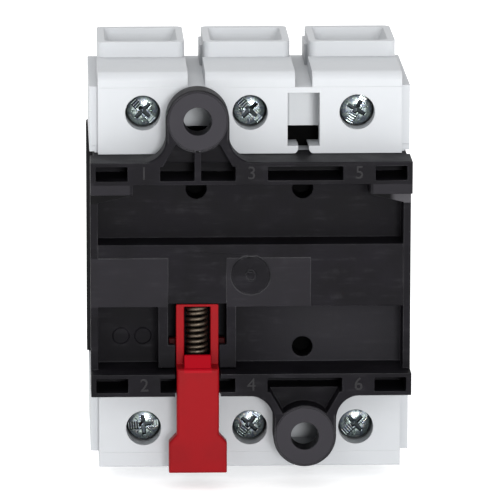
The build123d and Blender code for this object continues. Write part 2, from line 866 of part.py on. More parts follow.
def front_frame():
    """The black frame on the housing's front, with side skirts and hinge lugs."""
    outline = RectangleRounded(2 * frame_half, 2 * frame_end, frame_round)
    outline -= span(-aperture_half, aperture_half, aperture_bottom, aperture_top)
    frame = slab(outline, housing_front, frame_front)
    skirt_inner = waist_half + base_play
    lug_low = hinge_height - hinge_barrel_radius
    lug = span(frame_front, hinge_depth, lug_low, hinge_height + hinge_barrel_radius)
    lug += Pos(hinge_depth, hinge_height) * Circle(hinge_barrel_radius)
    lug -= Pos(hinge_depth, hinge_height) * Circle(hinge_pin_radius + hinge_play)
    for side in (-1, 1):
        skirt = span(side * skirt_inner, side * frame_half, -frame_end, frame_end)
        frame += slab(skirt, housing_front - frame_skirt, housing_front)
        ends = sorted((side * lug_inner, side * (lug_inner + lug_width)))
        frame += bar(lug, ends[0], ends[1])
    return frame


def hinge_pin(side):
    """One hinge pin, from the lug's outer face into the carrier's barrel."""
    outer = lug_inner + lug_width
    ends = sorted((side * outer, side * (outer - hinge_pin_length)))
    return bar(Pos(hinge_depth, hinge_height) * Circle(hinge_pin_radius), ends[0], ends[1])


def terminal_places():
    """Locations of the terminals, the upper ones first, each side from left to right."""
    upper = [Pos(place, 0, 0) for place in pole_places]
    lower = [Rot(0, 180, 0) * Pos(place, 0, 0) for place in reversed(pole_places)]
    return upper + lower


def all_parts():
    """Every node's name and its shape."""
    parts = {
        "rear_base": rear_base(),
        "rail_clip": rail_clip(),
        "clip_spring": clip_spring(),
        "housing": housing(),
        "contact_block": contact_block(),
        "front_frame": front_frame(),
        "fuse_carrier": fuse_carrier(),
        "hinge_pin_left": hinge_pin(-1),
        "hinge_pin_right": hinge_pin(1),
    }
    upper, lower = jaw_levels()
    cage = clamp_cage()
    plate = pressure_plate()
    strips = (contact(upper), contact(-lower))
    springs = (jaw_spring(upper), jaw_spring(-lower))
    for number, location in enumerate(terminal_places(), start=1):
        side = 0 if number <= pole_count else 1
        turn = screw_turns[(number - 1) % len(screw_turns)]
        parts[f"clamp_cage_{number}"] = location * cage
        parts[f"terminal_screw_{number}"] = location * terminal_screw(turn)
        parts[f"pressure_plate_{number}"] = location * plate
        parts[f"contact_{number}"] = location * strips[side]
        parts[f"jaw_spring_{number}"] = location * springs[side]
    for number, place in enumerate(pole_places, start=1):
        pole = Pos(place, 0, 0)
        parts[f"fuse_tube_{number}"] = pole * fuse_tube()
        parts[f"fuse_caps_{number}"] = pole * fuse_caps()
        parts[f"carrier_clip_{number}"] = pole * carrier_clip()
        parts[f"window_{number}"] = pole * window_pane()
    return parts


os.makedirs("parts", exist_ok=True)
for name, shape in all_parts().items():
    export_step(shape, f"parts/{name}.step")
    print(name, round(shape.volume, 1))
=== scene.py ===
# %% [markdown]
# A three-pole fuse switch disconnector stands before us with its rail side to the camera: a light
# grey housing, a black base that hooks onto a mounting rail, and a red clip with its spring.
# The rigid parts come finished from CAD in metres, so a new piece goes where the CAD says.
# The box round those parts is kept now, because the dressed object may not grow out of it.

# %% Load the frame
import json
import math

import bmesh
import bpy
import numpy as np
from mathutils import Matrix, Vector

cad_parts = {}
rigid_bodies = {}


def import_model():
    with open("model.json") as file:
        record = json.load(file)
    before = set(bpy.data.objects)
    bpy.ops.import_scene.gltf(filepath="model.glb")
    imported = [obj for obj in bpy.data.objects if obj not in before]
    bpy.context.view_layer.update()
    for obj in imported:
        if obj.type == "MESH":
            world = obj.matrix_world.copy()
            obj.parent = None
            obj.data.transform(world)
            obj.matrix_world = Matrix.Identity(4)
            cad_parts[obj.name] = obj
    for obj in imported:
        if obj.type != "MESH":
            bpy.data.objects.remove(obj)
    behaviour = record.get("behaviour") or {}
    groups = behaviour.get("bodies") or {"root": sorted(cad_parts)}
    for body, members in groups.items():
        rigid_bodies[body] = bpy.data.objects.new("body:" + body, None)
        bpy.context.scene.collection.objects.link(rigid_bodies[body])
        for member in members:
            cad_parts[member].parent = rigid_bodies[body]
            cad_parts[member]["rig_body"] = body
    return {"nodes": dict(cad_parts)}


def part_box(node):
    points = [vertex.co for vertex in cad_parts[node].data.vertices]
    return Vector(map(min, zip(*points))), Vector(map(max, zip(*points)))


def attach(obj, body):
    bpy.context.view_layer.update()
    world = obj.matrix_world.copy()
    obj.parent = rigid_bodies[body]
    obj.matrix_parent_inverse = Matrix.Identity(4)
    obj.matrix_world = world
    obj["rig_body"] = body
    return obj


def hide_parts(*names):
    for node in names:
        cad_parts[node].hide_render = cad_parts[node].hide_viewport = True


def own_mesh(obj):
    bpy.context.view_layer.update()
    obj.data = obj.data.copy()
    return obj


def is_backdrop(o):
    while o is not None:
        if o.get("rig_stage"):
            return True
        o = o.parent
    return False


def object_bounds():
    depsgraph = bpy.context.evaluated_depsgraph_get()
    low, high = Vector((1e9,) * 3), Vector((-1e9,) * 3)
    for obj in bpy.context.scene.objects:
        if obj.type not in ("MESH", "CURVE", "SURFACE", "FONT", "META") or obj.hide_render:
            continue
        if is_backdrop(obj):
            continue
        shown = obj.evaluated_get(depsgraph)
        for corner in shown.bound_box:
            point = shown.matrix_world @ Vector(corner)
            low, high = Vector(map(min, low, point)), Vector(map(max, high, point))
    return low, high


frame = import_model()
nodes = frame["nodes"]
cad_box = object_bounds()
print("CAD box in mm:", np.round(np.subtract(cad_box[1], cad_box[0]) * 1000, 2))

# %% [markdown]
# The camera stands where the photographer's did: about a metre behind the rail side, a little to
# the left and above. Three turns say where it looks, and the columns of its matrix are the
# directions that they give: right, up, and backwards, because a camera looks along its own -Z.
# A long lens keeps the upright edges nearly parallel.

# %% Place the camera
yaw = math.radians(2.187)
pitch = math.radians(11.344)
roll = math.radians(0.0756)
camera_place = np.array([-0.039742, -1.036817, 0.213003])
focal_pixels = 5599.2
frame_pixels = 500
sensor_width = 36.0
sight_limit = 20

forward = np.array([
    math.sin(yaw) * math.cos(pitch),
    math.cos(yaw) * math.cos(pitch),
    -math.sin(pitch),
])
level_right = np.array([math.cos(yaw), -math.sin(yaw), 0.0])
level_up = np.cross(level_right, forward)
right = math.cos(roll) * level_right + math.sin(roll) * level_up
up = math.cos(roll) * level_up - math.sin(roll) * level_right

lens = bpy.data.cameras.new("camera")
lens.sensor_fit = "HORIZONTAL"
lens.sensor_width = sensor_width
lens.lens = focal_pixels * sensor_width / frame_pixels
lens.clip_end = sight_limit
camera = bpy.data.objects.new("camera", lens)
bpy.context.scene.collection.objects.link(camera)
placing = np.eye(4)
placing[:3] = np.column_stack([right, up, -forward, camera_place])
camera.matrix_world = Matrix(placing)
bpy.context.scene.camera = camera
print("lens in mm:", round(lens.lens, 1))

# %% [markdown]
# A finish is built from shader nodes, and sums of nodes are hard to read as nested calls. One
# small class wraps a socket, so that an expression such as 1 - mask * 0.3 adds its own Math
# nodes. Its reflected forms let the number stand on the left.

# %% Shader values that can be added and multiplied
class Shade:
    """One output socket of a finish: + - * ** and abs on it add Math nodes."""

    def __init__(self, finish, socket):
        self.finish = finish
        self.socket = socket

    def maths(self, operation, *values):
        """A Math node on these values."""
        return self.finish.node("Math", {"operation": operation}, dict(enumerate(values)))

    def __add__(self, other):
        return self.maths("ADD", self, other)

    def __sub__(self, other):
        return self.maths("SUBTRACT", self, other)

    def __rsub__(self, other):
        return self.maths("SUBTRACT", other, self)

    def __mul__(self, other):
        return self.maths("MULTIPLY", self, other)

    def __pow__(self, power):
        return self.maths("POWER", self, power)

    def __abs__(self):
        return self.maths("ABSOLUTE", self)

    __radd__ = __add__
    __rmul__ = __mul__


print("shader values ready")

# %% [markdown]
# Every other node comes from one method, which sets the node's options first and its sockets
# after them. The methods below it are the few that the finishes share. A mark on a moulding is
# a mask: 1 where the mark is, 0 elsewhere, with a soft step between. The product of two masks is
# 1 where both are.

# %% A finish under construction
class Finish:
    """A material under construction, with the shader's own sockets set by name."""

    def __init__(self, name, **shader):
        self.material = bpy.data.materials.new(name)
        self.material.use_nodes = True
        self.tree = self.material.node_tree
        self.shader = self.tree.nodes["Principled BSDF"]
        self.place = self.node("TexCoord", {}, {}, "Object")
        self.show(**shader)

    def set(self, node, inputs):
        """Link each shader value to its socket, and set each number on the socket itself."""
        for key, value in inputs.items():
            if isinstance(value, Shade):
                self.tree.links.new(value.socket, node.inputs[key])
            else:
                node.inputs[key].default_value = value

    def show(self, **shader):
        """Set sockets of the shader: an underscore stands for each space in a name."""
        self.set(self.shader, {key.replace("_", " "): value for key, value in shader.items()})

    def node(self, kind, options, inputs, output=0):
        """Any node: its options, its sockets, and the output that is wanted."""
        made = self.tree.nodes.new("ShaderNode" + kind)
        for key, value in options.items():
            setattr(made, key, value)
        self.set(made, inputs)
        return Shade(self, made.outputs[output])

    def stretched(self, *scale):
        """The place with its axes scaled: below 1, a pattern grows long that way."""
        return self.node("Mapping", {}, {"Vector": self.place, "Scale": scale})

    def noise(self, scale, detail=2.0, roughness=0.5, along=None):
        """A cloud of values round 0.5, this many to the metre."""
        place = along or self.place
        inputs = {"Vector": place, "Scale": scale, "Detail": detail, "Roughness": roughness}
        return self.node("TexNoise", {}, inputs, "Fac")

    def axis(self, letter):
        """One coordinate of the place, in metres."""
        return self.node("SeparateXYZ", {}, {"Vector": self.place}, letter)

    def from_line(self, x, z):
        """The distance to a line along Y: the root of the two offsets' squares."""
        return ((self.axis("X") - x) ** 2.0 + (self.axis("Z") - z) ** 2.0) ** 0.5

    def blend(self, factor, first, second):
        """A mix of two colours, each a shader value or three numbers."""
        sides = [side if isinstance(side, Shade) else (*side, 1.0) for side in (first, second)]
        return self.node("Mix", {"data_type": "RGBA"}, {0: factor, 6: sides[0], 7: sides[1]}, 2)

    def ramp(self, value, stops):
        """A colour read off a row of stops, each a position and three numbers."""
        colour = self.node("ValToRGB", {}, {"Fac": value}, "Color")
        elements = colour.socket.node.color_ramp.elements
        while len(elements) < len(stops):
            elements.new(1.0)
        for element, (position, tint) in zip(elements, stops):
            element.position = position
            element.color = (*tint, 1.0)
        return colour

    def between(self, value, low, high, out_low=0.0, out_high=1.0):
        """The value carried from one range to another in a smooth step."""
        inputs = {0: value, 1: low, 2: high, 3: out_low, 4: out_high}
        return self.node("MapRange", {"interpolation_type": "SMOOTHSTEP"}, inputs)

    def above(self, value, limit, soft=0.0001):
        """1 above the limit and 0 below it."""
        return self.between(value, limit - soft, limit + soft)

    def below(self, value, limit, soft=0.0001):
        """1 below the limit and 0 above it."""
        return self.between(value, limit - soft, limit + soft, 1.0, 0.0)

    def inside(self, value, low, high, soft=0.00003):
        """1 between two limits and 0 beyond them."""
        return self.above(value, low, soft) * self.below(value, high, soft)

    def rounded_normal(self, radius):
        """The normal as it would be with edges rounded by this radius."""
        return self.node("Bevel", {"samples": 6}, {"Radius": radius})

    def edges(self, radius):
        """How far the rounded normal leaves the flat one: 0 on faces, towards 1 on edges."""
        flat = self.node("NewGeometry", {}, {}, "Normal")
        inputs = {0: self.rounded_normal(radius), 1: flat}
        likeness = self.node("VectorMath", {"operation": "DOT_PRODUCT"}, inputs, "Value")
        return self.between(1 - likeness, 0.01, 0.2)

    def relief(self, height, distance, radius=None):
        """Bump from a height, on a normal that is rounded at edges where a radius is given."""
        inputs = {"Height": height, "Distance": distance, "Strength": 1.0}
        if radius:
            inputs["Normal"] = self.rounded_normal(radius)
        self.show(Normal=self.node("Bump", {}, inputs))


print("methods of a finish:", len([name for name in vars(Finish) if name[0] != "_"]))

# %% [markdown]
# Moulded plastic takes the skin of its mould: a fine spark-eroded grain, tiny waves where the
# plastic shrank, and edges polished by handling. Two noises do it, one a few grains to the
# millimetre and one that wanders over centimetres. Edges are a little lighter and glossier, but
# not everywhere: the same two noises break it up. The lighter colour is partly wear and partly a
# painted highlight, the thin line of light that a rounded edge catches.

# %% Moulded plastic
def moulded(
    name, colour, wear_and_highlight_colour, rough=0.45, grain=0.000012, tone=0.06, radius=0.00018, marks=None, **shader
):
    """A plastic finish: colour wanders by tone, edges wear and take a painted highlight, marks
    change colour and height.
    """
    finish = Finish(name, **shader)
    fine = finish.noise(5200, 3.0, 0.6)
    broad = finish.noise(140, 3.0)
    drift = finish.between(broad, 0.35, 0.65)
    speckle = finish.between(fine, 0.3, 0.7)
    dark = [channel * (1 - tone) for channel in colour]
    light = [channel * (1 + tone) for channel in colour]
    body = finish.blend(drift, dark, light)
    height = fine + 0.8 * broad
    if marks:
        body, height = marks(finish, body, height)
    edge = finish.edges(radius)
    # Edges painted lighter: partly wear, partly a painted highlight.
    edge_wear_and_highlight = edge * (0.4 + 0.6 * drift) * (0.5 + 0.5 * speckle)
    finish.show(
        Base_Color=finish.blend(edge_wear_and_highlight, body, wear_and_highlight_colour),
        Roughness=rough + 0.10 * drift - 0.12 * edge + 0.06 * speckle,
    )
    finish.relief(height, grain, radius)
    return finish.material


block_plastic = moulded(
    "black_block_plastic", (0.0008, 0.0008, 0.0009), (0.003, 0.003, 0.003),
    rough=0.5, Specular_IOR_Level=0.02,
)
frame_plastic = moulded(
    "black_frame_plastic", (0.007, 0.007, 0.008), (0.04, 0.04, 0.04),
    rough=0.4, Specular_IOR_Level=0.15,
)
carrier_plastic = moulded(
    "grey_carrier_plastic", (0.42, 0.434, 0.452), (0.49, 0.50, 0.515),
    rough=0.42, tone=0.015, Specular_IOR_Level=0.35,
)
print("plain plastics:", len(bpy.data.materials))

# %% [markdown]
# The housing carries one mark and the clip two. The wall that shows through the housing's open
# window is painted lighter than the rest: painted light, deep in the window. The clip's lip is
# polished to a purer red, and the wings on which it slides are painted dark: painted shade in
# their narrow channel.

# %% Light grey housing and red clip
# Where the window's back wall is, which takes painted light.
window_across = (0.0078, 0.0134)
window_up = (0.0250, 0.0335)
window_wall = (0.0129, 0.0133)
clip_place = -0.010125
lip_half = 0.0026
lip_up = (-0.0179, -0.0149)
lip_depth = 0.0005
wing_start = 0.0041
wing_up = (-0.0152, -0.0126)


def painted_window_light(finish, body, height):
    """Painted light: the wall at the back of the open window, painted lighter."""
    window = finish.inside(finish.axis("X"), *window_across)
    window = window * finish.inside(finish.axis("Z"), *window_up)
    painted_light_mask = window * finish.inside(finish.axis("Y"), *window_wall)
    # Painted light: the window's back wall is painted lighter than the housing.
    return finish.blend(painted_light_mask, body, (0.66, 0.68, 0.70)), height


def clip_marks(finish, body, height):
    """The purer red of the lip, and painted shade on the wings in their channel."""
    beside = abs(finish.axis("X") - clip_place)
    up = finish.axis("Z")
    lip = finish.below(beside, lip_half, 0.00003) * finish.inside(up, *lip_up)
    lip = lip * finish.below(finish.axis("Y"), lip_depth, lip_depth)
    wing_shade = finish.above(beside, wing_start) * finish.inside(up, *wing_up)
    body = finish.blend(lip, body, (0.28, 0.0005, 0.006))
    # Painted shade: the wings in their channel are painted nearly black.
    return finish.blend(0.9 * wing_shade, body, (0.012, 0.0008, 0.001)), height


housing_plastic = moulded(
    "light_grey_plastic", (0.43, 0.444, 0.462), (0.50, 0.51, 0.525),
    rough=0.42, tone=0.015, marks=painted_window_light, Specular_IOR_Level=0.35,
)
clip_plastic = moulded(
    "red_clip_plastic", (0.202, 0.003, 0.0055), (0.45, 0.014, 0.014),
    rough=0.40, grain=0.000008, marks=clip_marks, Specular_IOR_Level=0.08,
)
print("plastics:", len(bpy.data.materials))

# %% [markdown]
# The black base isn't one even black. Its ear discs, its hooks and two pads beside the gate come
# from smoother steel and look greyer. The gussets below the hooks are painted dark: a painted
# shadow under the hooks, but for the outer part of the right one, which is painted lighter as a
# painted highlight. Plastic that flowed along the rail channel left long streaks, a pale patch on
# the lower floor is a painted reflection, and the pins that push the moulding out of its mould
# leave round marks. The wells below the channel's floor are painted black: painted shade. All of
# these are masks from the place on the part, so they stay where they are when the part turns or
# moves.

# %% Places of the base's marks
rear_limit = -0.0042
plateau = (-0.0002, 0.0002)
ear_centres = [(-0.010125, 0.0303), (0.010125, -0.0303)]
ear_disc = 0.0057
gate_ring = 0.0038
pads_across = [(-0.0310, -0.0157), (-0.0046, 0.0113)]
pads_up = (-0.0061, 0.0033)
hook_up = (0.0157, 0.0182)
hook_start = 0.0229
gusset_up = (0.0138, 0.0157)
gusset_start = 0.0223
# Where the gussets' painted shadow ends and their painted highlight starts.
gusset_shadow_end = 0.0265
gusset_highlight_start = 0.02685
# Where the painted reflection lies on the lower floor of the channel.
sheen_across = (0.004, 0.040)
sheen_up = (-0.0215, -0.0060)
sheen_depth = 0.0064
pin_marks = [(-0.0245, -0.0131), (-0.0203, -0.0131)]
pin_ring = (0.00147, 0.00163)
pin_depth = 0.00675
# The depth below which the wells are painted black.
well_depth = 0.0077

smooth_black = (0.028, 0.0265, 0.031)
streak_black = (0.030, 0.029, 0.033)
# The next three colours are painted: a reflection, a highlight, and shade.
sheen_black = (0.030, 0.029, 0.034)
highlight_black = (0.060, 0.058, 0.064)
shade_black = (0.0012, 0.0012, 0.0014)
print("marks on the base:", len(ear_centres) + len(pads_across) + len(pin_marks))

# %% [markdown]
# The marks are laid over one another: the smooth patches first, then the streaks and the painted
# reflection over them, then the hooks, the painted shadow and highlight of the gussets, and the
# painted shade of the wells last. Only the ejector pins change the height, and not the colour.

# %% The black base
def smooth_patches(finish, rear, level):
    """1 on the ear discs, and a third on the pads except inside the gate's ring."""
    discs = sum(
        rear * finish.below(finish.from_line(*centre), ear_disc, 0.00003) for centre in ear_centres
    )
    pads = sum(finish.inside(finish.axis("X"), *across) for across in pads_across)
    pads = pads * finish.inside(finish.axis("Z"), *pads_up)
    outside_gate = finish.above(finish.from_line(0.0, 0.0), gate_ring, 0.00004)
    return discs + 0.33 * level * outside_gate * pads


def base_marks(finish, body, height):
    """Smooth patches, streaks, painted sheen, hooks, painted gusset shadow and highlight, ejector
    pins, painted well shade.
    """
    across = finish.axis("X")
    depth = finish.axis("Y")
    up = finish.axis("Z")
    rear = finish.below(depth, rear_limit)
    level = finish.inside(depth, *plateau)
    body = finish.blend(smooth_patches(finish, rear, level), body, smooth_black)

    along_channel = finish.stretched(0.12, 1.0, 1.0)
    streak = finish.between(finish.noise(900, 4.0, 0.6, along_channel), 0.45, 0.75)
    blotch = finish.between(finish.noise(260, 4.0, 0.6), 0.40, 0.7)
    body = finish.blend(0.45 * streak * blotch, body, streak_black)
    # Painted reflection: a soft pale patch on the lower floor of the rail channel.
    floor_sheen = finish.inside(across, *sheen_across, 0.012) * finish.inside(up, *sheen_up, 0.003)
    floor_sheen = floor_sheen * finish.above(depth, sheen_depth, 0.0004)
    body = finish.blend(0.5 * floor_sheen, body, sheen_black)

    sideways = abs(across)
    hook = rear * finish.inside(up, *hook_up) * finish.above(sideways, hook_start)
    body = finish.blend(0.4 * hook, body, smooth_black)
    gusset = level * finish.inside(up, *gusset_up) * finish.above(sideways, gusset_start)
    # Painted shadow: the gussets under the hooks are painted nearly black.
    dark = gusset * finish.below(across, gusset_shadow_end, 0.0003)
    body = finish.blend(0.85 * dark, body, shade_black)
    # Painted highlight: the outer part of the right gusset is painted lighter.
    light = gusset * finish.above(across, gusset_highlight_start, 0.00065)
    body = finish.blend(light, body, highlight_black)

    for centre in pin_marks:
        ring = finish.inside(finish.from_line(*centre), *pin_ring, 0.00006)
        height = height - 6.0 * ring * finish.above(depth, pin_depth, 0.00015)
    # Painted shade: the wells below the channel's floor are painted nearly black.
    well_shade = finish.above(depth, well_depth, 0.0003)
    return finish.blend(0.92 * well_shade, body, shade_black), height


base_plastic = moulded(
    "black_base_plastic", (0.0051, 0.0046, 0.0062), (0.095, 0.095, 0.10),
    rough=0.40, grain=0.00002, tone=0.25, radius=0.0003, marks=base_marks, Specular_IOR_Level=0.06,
)
print("nodes of the base's finish:", len(base_plastic.node_tree.nodes))

# %% [markdown]
# The metal parts are small, so their finish is mostly reflection. What tells them apart is the
# colour of the reflection and the marks of their making: drawn wire has streaks along it, zinc
# plating has blue, yellow and green clouds, stamped copper is bright with brown stains. The bottom
# of a screw's recess is painted dark: painted shade in the recess.

# %% Metals
# Depths between which a screw's recess is painted dark.
screw_shade_depths = (0.00753, 0.0088)


def plated(name, colours, rough=0.25, clouds=900, shade_depths=None):
    """A metal whose colour drifts through the given colours in clouds, under fine scratches.
    The shade depths are two depths between which the metal is painted dark: painted shade in the
    recess."""
    finish = Finish(name, Metallic=1.0)
    cloud = finish.noise(clouds, 3.0, 0.55)
    steps = np.linspace(0.32, 0.68, len(colours))
    tint = finish.ramp(cloud, list(zip(steps.tolist(), colours)))
    if shade_depths:
        # Painted shade: the floor of a screw's recess is painted dark.
        recess_shade = finish.inside(finish.axis("Y"), *shade_depths)
        tint = finish.blend(0.9 * recess_shade, tint, (0.02, 0.025, 0.03))
    scratches = finish.noise(9000, 4.0, 0.7, finish.stretched(1.0, 0.08, 0.35))
    roughness = rough + 0.18 * (scratches - 0.5) + 0.1 * cloud
    finish.show(Base_Color=tint, Roughness=roughness)
    finish.relief(scratches + 0.5 * cloud, 0.000004, 0.0001)
    return finish.material


zinc = plated(
    "blue_zinc_plating",
    [(0.10, 0.13, 0.15), (0.42, 0.49, 0.45), (0.18, 0.21, 0.28), (0.54, 0.54, 0.47)],
    rough=0.13, clouds=1100, shade_depths=screw_shade_depths,
)
cage_metal = plated(
    "cage_steel", [(0.50, 0.50, 0.49), (0.62, 0.61, 0.58), (0.58, 0.60, 0.62)],
    rough=0.3, clouds=400,
)
pin_metal = plated("pin_steel", [(0.55, 0.55, 0.55), (0.66, 0.66, 0.66)], rough=0.2, clouds=400)
jaw_metal = plated("jaw_steel", [(0.50, 0.49, 0.47), (0.62, 0.60, 0.57)], rough=0.28, clouds=500)
wire_metal = plated(
    "spring_wire", [(0.06, 0.049, 0.038), (0.12, 0.098, 0.075), (0.085, 0.07, 0.054)],
    rough=0.42, clouds=1500,
)
copper = plated(
    "contact_copper", [(0.80, 0.44, 0.28), (0.90, 0.56, 0.38), (0.70, 0.38, 0.25)],
    rough=0.25, clouds=350,
)
silver = plated("cap_silver", [(0.80, 0.79, 0.76), (0.90, 0.89, 0.86)], rough=0.16, clouds=250)
print("finishes:", len(bpy.data.materials))

# %% [markdown]
# Two finishes are neither plastic nor metal: the fuses' white glazed ceramic, which is smooth
# over a slightly uneven body, and the clear panes over them, which let light through and keep a
# few hairline scratches.

# %% Ceramic and clear panes
def glazed(name):
    """White ceramic under glaze, with faint freckles."""
    finish = Finish(name, Coat_Weight=0.6, Coat_Roughness=0.08)
    body = finish.noise(260, 4.0)
    freckle = finish.between(finish.noise(2600, 2.0), 0.66, 0.74)
    clouds = finish.between(body, 0.35, 0.65)
    white = finish.blend(clouds, (0.74, 0.73, 0.70), (0.82, 0.81, 0.78))
    speckled = finish.blend(freckle * 0.4, white, (0.45, 0.42, 0.38))
    finish.show(Base_Color=speckled, Roughness=0.32 + 0.12 * body)
    finish.relief(body, 0.00003, 0.0001)
    return finish.material


def clear(name):
    """Clear plastic: mostly see-through, with scratches that catch the light."""
    finish = Finish(name, IOR=1.49, Base_Color=(0.86, 0.89, 0.90, 1.0))
    hairlines = finish.noise(4200, 2.0, 0.5, finish.stretched(1.0, 1.0, 0.06))
    scratch = finish.between(hairlines, 0.62, 0.70)
    finish.show(Alpha=0.16 + 0.12 * scratch, Roughness=0.06 + 0.25 * scratch)
    finish.relief(scratch, 0.000004)
    return finish.material


ceramic = glazed("glazed_ceramic")
pane_plastic = clear("clear_pane")
print("finishes:", len(bpy.data.materials))

# %% [markdown]
# Each CAD part takes the finish of its material slot in the record, so the list of slots is read
# once and every part finds its own finish.

# %% Give each CAD part its finish
finishes = {
    "base_black": base_plastic,
    "clip_red": clip_plastic,
    "spring_steel": wire_metal,
    "housing_grey": housing_plastic,
    "block_black": block_plastic,
    "frame_black": frame_plastic,
    "carrier_grey": carrier_plastic,
    "pin_steel": pin_metal,
    "cage_steel": cage_metal,
    "screw_zinc": zinc,
    "contact_copper": copper,
    "jaw_steel": jaw_metal,
    "fuse_ceramic": ceramic,
    "cap_silver": silver,
    "pane_clear": pane_plastic,
}
slot_of = {}
for name, node in nodes.items():
    slot_of[name] = node.material_slots[0].material.name.split(".")[0]
    for slot in node.material_slots:
        slot.material = finishes[slot.material.name.split(".")[0]]
print("parts with a finish:", len(slot_of))

# %% [markdown]
# A new piece goes with the body that it moves with and wears a finish in its slot, and where it
# stands in for a CAD part, that part is hidden. One helper does all three.

# %% Helper for new pieces
def add_piece(name, mesh, finish, node, stands_in=True):
    """Put a mesh into the scene as a piece that goes with a CAD part, or in its place."""
    mesh.materials.append(finish)
    piece = bpy.data.objects.new(name, mesh)
    bpy.context.scene.collection.objects.link(piece)
    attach(piece, nodes[node]["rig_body"])
    if stands_in:
        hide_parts(node)
    return piece


# %% [markdown]
# The mouldings' edges aren't razor sharp: a mould's corners are rounded by a tenth or two of a
# millimetre, and that thin line of light on each edge is what makes plastic look moulded. The
# CAD parts have sharp edges, so a merged copy stands for each one. Merging joins the loose
# triangles, joining flat neighbours leaves mostly quads, and a Bevel modifier rounds what meets
# at an angle. The bevel marks its own faces as weak, so the flat faces keep their flat normals.

# %% Round the mouldings' edges
cad_weld = 1e-6
flat_angle = math.radians(0.5)
any_shape = math.radians(180)
sharp_angle = math.radians(30)


def rounded_copy(node, name, width):
    """A merged copy of a CAD part with its sharp edges rounded, in place of the part."""
    shape = bmesh.new()
    shape.from_mesh(nodes[node].data)
    bmesh.ops.remove_doubles(shape, verts=shape.verts, dist=cad_weld)
    bmesh.ops.join_triangles(
        shape, faces=shape.faces, angle_face_threshold=flat_angle, angle_shape_threshold=any_shape
    )
    mesh = bpy.data.meshes.new(name)
    shape.to_mesh(mesh)
    shape.free()
    mesh.shade_smooth()
    mesh.set_sharp_from_angle(angle=sharp_angle)
    piece = add_piece(name, mesh, finishes[slot_of[node]], node)
    rounding = piece.modifiers.new("rounding", "BEVEL")
    rounding.width = width
    rounding.segments = 2
    rounding.limit_method = "ANGLE"
    rounding.angle_limit = sharp_angle
    rounding.use_clamp_overlap = False
    rounding.face_strength_mode = "FSTR_ALL"
    level = piece.modifiers.new("level", "WEIGHTED_NORMAL")
    level.keep_sharp = True
    level.use_face_influence = True
    return piece


rounded = [
    rounded_copy("rear_base", "base_moulding", 0.00012),
    rounded_copy("rail_clip", "clip_moulding", 0.00018),
    rounded_copy("contact_block", "block_moulding", 0.0002),
    rounded_copy("fuse_carrier", "carrier_moulding", 0.0002),
]
print("faces before rounding:", {piece.name: len(piece.data.polygons) for piece in rounded})

# %% [markdown]
# Three kinds of small piece need more than the CAD holds: the spring's round wire, the screws'
# domed heads and threads, and the terminal numbers. The first two are surfaces worked out on a
# grid of points, so one helper turns such grids into a mesh. Where a row of the grid shrinks to
# a point, the doubles are merged, which closes the pole.

# %% From grids of points to a piece
grid_weld = 1e-8


def piece_from(name, grids, node, angle):
    """One closed mesh from grids (rows, columns, 3) whose last column meets the first."""
    spots, quads, count = [], [], 0
    for points in grids:
        rows, columns = points.shape[:2]
        number = np.arange(rows * columns).reshape(rows, columns) + count
        after = np.roll(number, -1, axis=1)
        corners = np.stack([number[:-1], after[:-1], after[1:], number[1:]], axis=-1)
        quads.append(corners.reshape(-1, 4))
        spots.append(points.reshape(-1, 3))
        count += rows * columns
    mesh = bpy.data.meshes.new(name)
    mesh.from_pydata(np.concatenate(spots), [], np.concatenate(quads).tolist())
    shape = bmesh.new()
    shape.from_mesh(mesh)
    bmesh.ops.remove_doubles(shape, verts=shape.verts, dist=grid_weld)
    bmesh.ops.recalc_face_normals(shape, faces=shape.faces)
    shape.to_mesh(mesh)
    shape.free()
    mesh.shade_smooth()
    mesh.set_sharp_from_angle(angle=math.radians(angle))
    return add_piece(name, mesh, finishes[slot_of[node]], node)


def round_angles(count):
    """Angles round a full circle, as one row of a grid."""
    return np.linspace(0, 2 * np.pi, count, endpoint=False)[None, :]


def smooth_step(value):
    """0 below 0, 1 above 1, and an even curve between."""
    value = np.clip(value, 0, 1)
    return value * value * (3 - 2 * value)


print("smooth step at 0, 0.25 and 1:", smooth_step(np.array([0, 0.25, 1])))

# %% [markdown]
# The spring is drawn bronze-coloured wire. Its middle line is a helix, and a circle is carried
# along it: at each step the circle lies between the direction away from the axis and the one
# across the wire. A real compression spring has closed ends: over the first and last turn the
# wire rises by little more than its own thickness, and the turns between share the rest. The
# wire starts at the back, a quarter turn on from +X.

# %% Wind the clip's spring
wire = 0.00034
coil = 0.00208 - wire
turns = 8.75
turn_steps = 40
first_turn = 0.25
closed_turns = 0.6
closed_rise = 0.0007
spring_length = 0.0095
spring_foot = (clip_place, 0.0022, -0.0156)

wound = np.linspace(0, turns, int(turns * turn_steps) + 1)[:, None]
opened = smooth_step(wound / closed_turns - 1) * smooth_step((turns - wound) / closed_turns - 1)
open_turns = np.mean(opened) * turns
rise = closed_rise + opened * (spring_length - 2 * wire - turns * closed_rise) / open_turns
height = np.cumsum(rise, axis=0) * turns / len(wound)
turn = 2 * np.pi * (wound + first_turn)
climb = rise / (2 * np.pi)
slant = np.sqrt(coil**2 + climb**2)

radius = np.where((wound == 0) | (wound == turns), 0.0, wire)
away = radius * np.cos(round_angles(14))
across = radius * np.sin(round_angles(14))
spring_points = np.stack([
    (coil + away) * np.cos(turn) + across * climb / slant * np.sin(turn),
    (coil + away) * np.sin(turn) - across * climb / slant * np.cos(turn),
    wire + height + across * coil / slant,
], axis=-1)
spring = piece_from("clip_coil", [spring_points + spring_foot], "clip_spring", angle=60)
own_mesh(spring)
print("spring faces:", len(spring.data.polygons))

